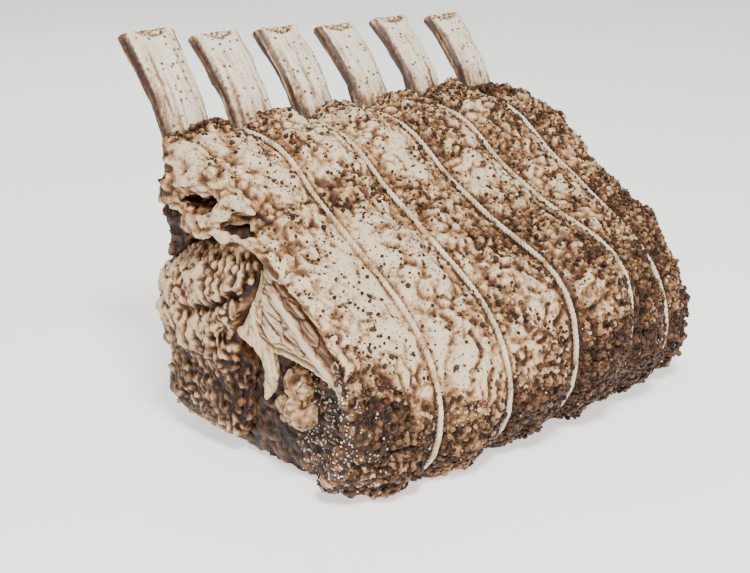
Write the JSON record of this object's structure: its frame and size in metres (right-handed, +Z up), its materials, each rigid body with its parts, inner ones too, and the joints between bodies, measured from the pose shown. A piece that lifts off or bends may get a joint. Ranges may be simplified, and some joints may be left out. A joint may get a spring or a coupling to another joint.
{
  "type": "beef rib roast",
  "caption": "Tied standing beef rib roast with frenched bones, a browned fat cap, a carved end that shows its muscles, and twine between the ribs.",
  "frame": {"origin": "centre of the bounding box's bottom, on the plane that the roast rests on", "axes": "+X along the rack, away from the carved end; +Y towards the bone side; +Z up"},
  "size_m": [0.334, 0.2468, 0.2371],
  "materials": {
    "fat_crust": "roasted fat, golden to deep brown, with a peppered crust",
    "browned_lean": "dark roasted lean meat",
    "eye_meat": "seared, crackled surface of the eye muscle",
    "cap_meat": "marbled roasted muscle",
    "seam_fat": "soft rendered fat, slightly glossy",
    "bone": "scraped roasted bone, browned at the tips",
    "twine": "twisted cotton twine, stained by the roast"
  },
  "bodies": {
    "root": {"fat_cap": "fat_crust", "back_lean": "browned_lean", "lower_lean": "browned_lean", "rib_eye": "eye_meat", "cap_muscle": "cap_meat", "seam_fat": "seam_fat", "fat_nugget": "seam_fat", "rib_1": "bone", "rib_2": "bone", "rib_3": "bone", "rib_4": "bone", "rib_5": "bone", "rib_6": "bone", "string_1": "twine", "string_2": "twine", "string_3": "twine", "string_4": "twine", "string_5": "twine"}
  },
  "joints": []
}
